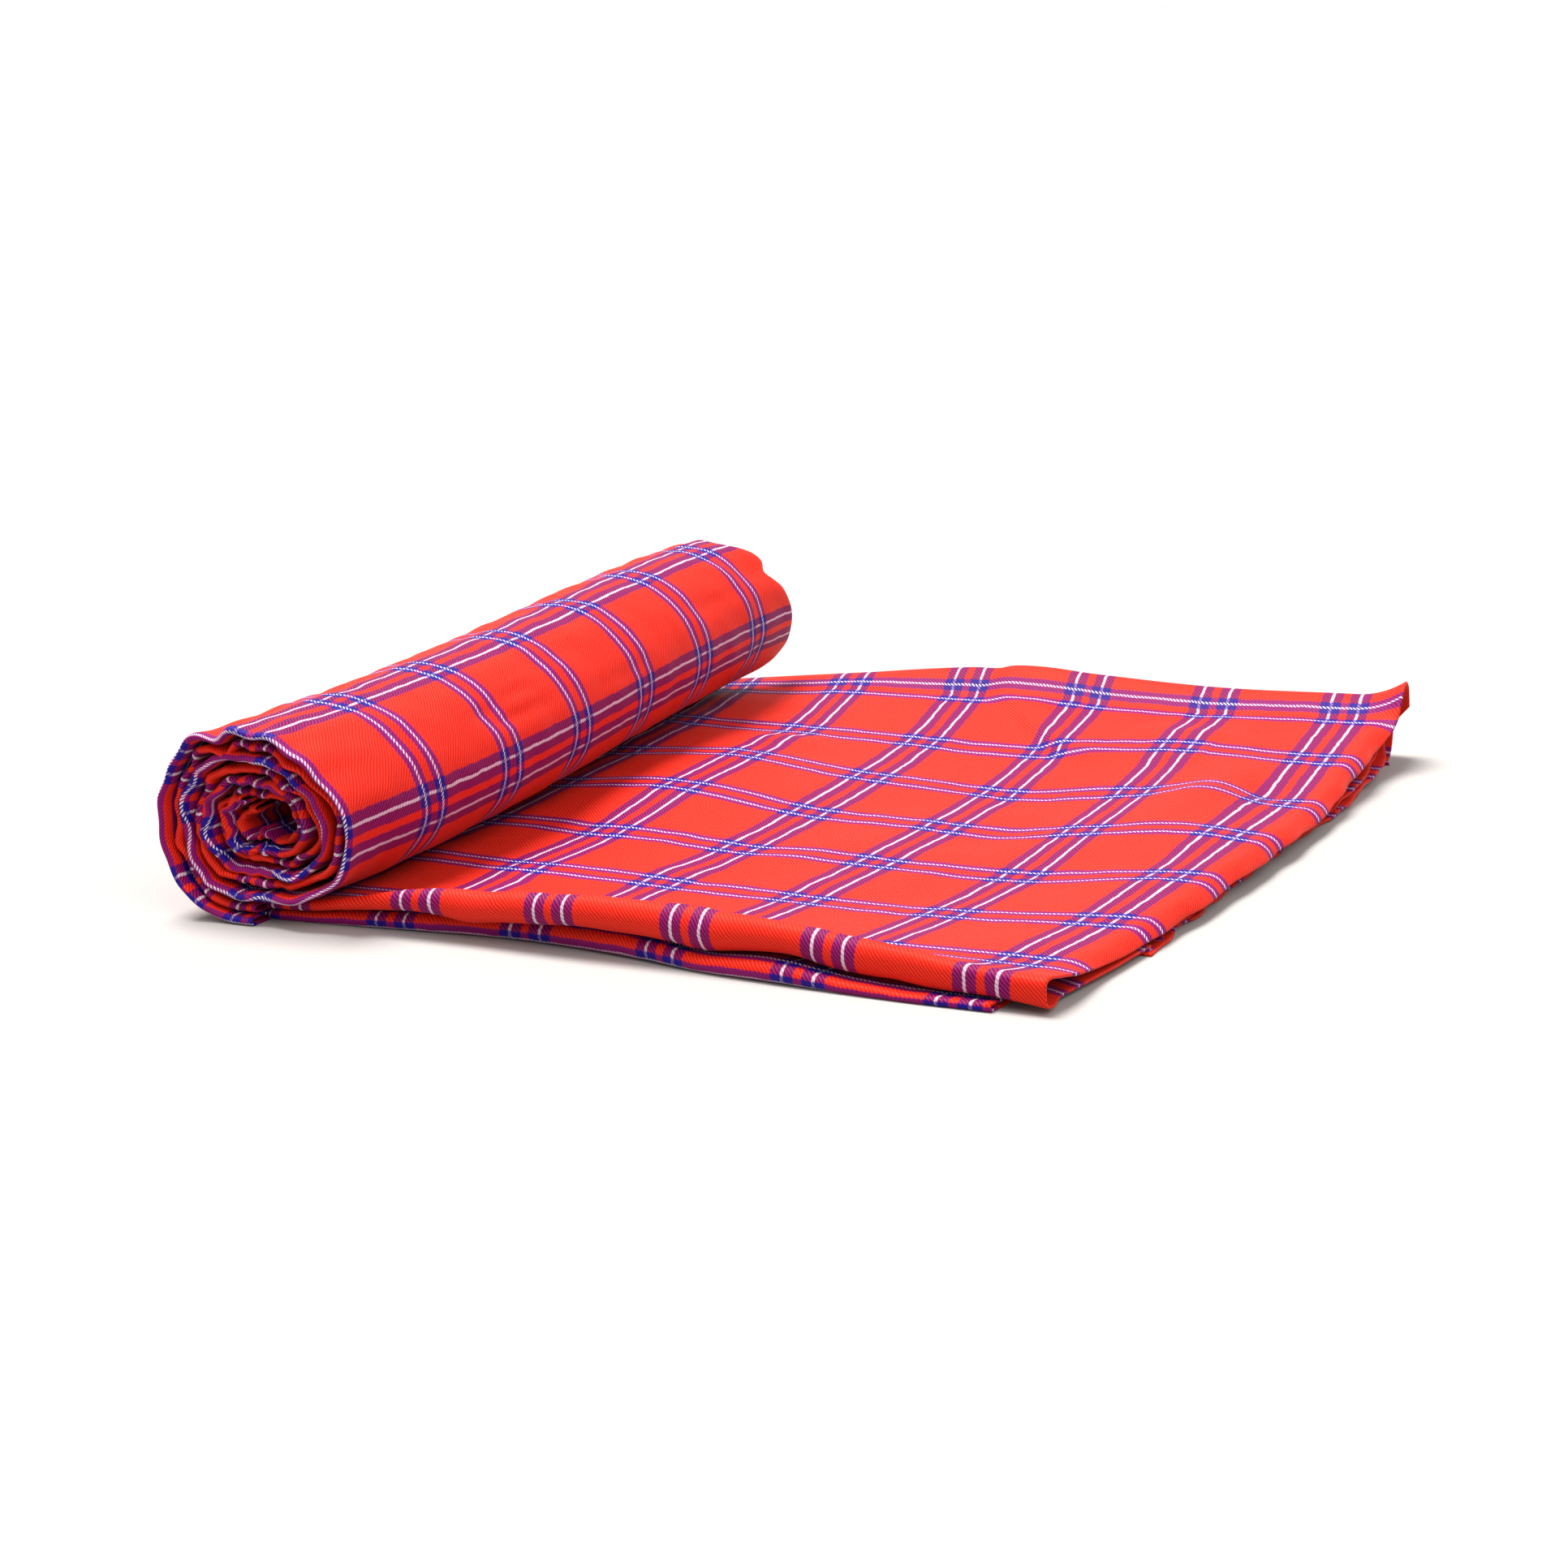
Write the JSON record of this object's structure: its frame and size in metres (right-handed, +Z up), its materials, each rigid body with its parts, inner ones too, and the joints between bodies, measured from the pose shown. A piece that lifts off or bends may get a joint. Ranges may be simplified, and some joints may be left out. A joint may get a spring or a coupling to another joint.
{
  "type": "maasai shuka",
  "caption": "Red check cotton blanket, folded lengthwise to a strip and lying flat, with one end wound up into a loose roll.",
  "frame": {"origin": "on the surface it lies on, under the middle of the whole", "axes": "+X along the folded strip from the roll to the open end, +Y from the two front folds to the back fold, along the roll, +Z up"},
  "size_m": [0.338, 0.3696, 0.0764],
  "materials": {
    "check_cloth": "soft twill, red ground with blue and white check"
  },
  "bodies": {
    "root": {"top_stretch": "check_cloth", "under_stretch": "check_cloth", "inner_layers": "check_cloth", "roll_striped_outer_turn": "check_cloth", "roll_plain_outer_turn": "check_cloth", "roll_striped_middle_turn": "check_cloth", "roll_plain_middle_turn": "check_cloth", "roll_striped_core": "check_cloth", "roll_plain_core": "check_cloth"}
  },
  "joints": []
}
